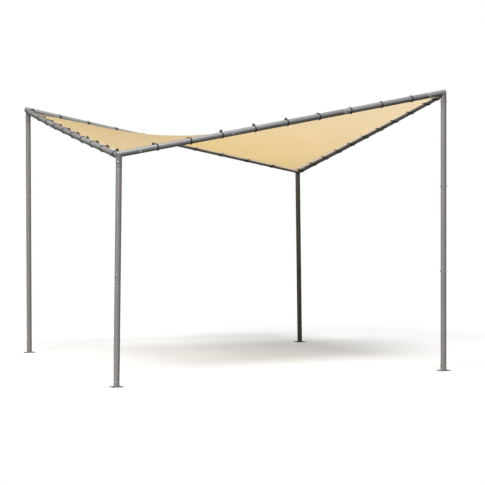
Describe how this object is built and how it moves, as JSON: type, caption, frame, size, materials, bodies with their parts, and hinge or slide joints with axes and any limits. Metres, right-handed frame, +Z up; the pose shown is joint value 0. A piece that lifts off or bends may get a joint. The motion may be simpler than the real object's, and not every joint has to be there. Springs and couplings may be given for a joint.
{
  "type": "garden gazebo",
  "caption": "Open garden gazebo: round tube posts and sloping tube beams with a saddle-shaped cloth canopy lashed inside them by elastic ball ties.",
  "frame": {"origin": "on the ground under the middle of the plan", "axes": "+Z up; X and Y along the beams, with the low corners at -X -Y and +X +Y and the high corners at +X -Y and -X +Y"},
  "size_m": [3.2398, 3.2398, 2.5255],
  "materials": {
    "coated_steel_tube": "grey powder-coated steel tube",
    "foot_plate_steel": "grey powder-coated steel plate",
    "canopy_cloth": "tan knitted shade cloth",
    "hem_and_ties": "tan doubled hem with black elastic ties"
  },
  "bodies": {
    "root": {"beam_back_1": "coated_steel_tube", "beam_back_2": "coated_steel_tube", "beam_back_3": "coated_steel_tube", "beam_front_1": "coated_steel_tube", "beam_front_2": "coated_steel_tube", "beam_front_3": "coated_steel_tube", "beam_left_1": "coated_steel_tube", "beam_left_2": "coated_steel_tube", "beam_left_3": "coated_steel_tube", "beam_right_1": "coated_steel_tube", "beam_right_2": "coated_steel_tube", "beam_right_3": "coated_steel_tube", "canopy": "canopy_cloth", "fitting_high_b": "coated_steel_tube", "fitting_high_d": "coated_steel_tube", "fitting_low_a": "coated_steel_tube", "fitting_low_c": "coated_steel_tube", "foot_high_b": "foot_plate_steel", "foot_high_d": "foot_plate_steel", "foot_low_a": "foot_plate_steel", "foot_low_c": "foot_plate_steel", "hem_ties_back": "hem_and_ties", "hem_ties_front": "hem_and_ties", "hem_ties_left": "hem_and_ties", "hem_ties_right": "hem_and_ties", "post_high_b_lower": "coated_steel_tube", "post_high_b_middle": "coated_steel_tube", "post_high_b_upper": "coated_steel_tube", "post_high_d_lower": "coated_steel_tube", "post_high_d_middle": "coated_steel_tube", "post_high_d_upper": "coated_steel_tube", "post_low_a_lower": "coated_steel_tube", "post_low_a_upper": "coated_steel_tube", "post_low_c_lower": "coated_steel_tube", "post_low_c_upper": "coated_steel_tube"}
  },
  "joints": []
}
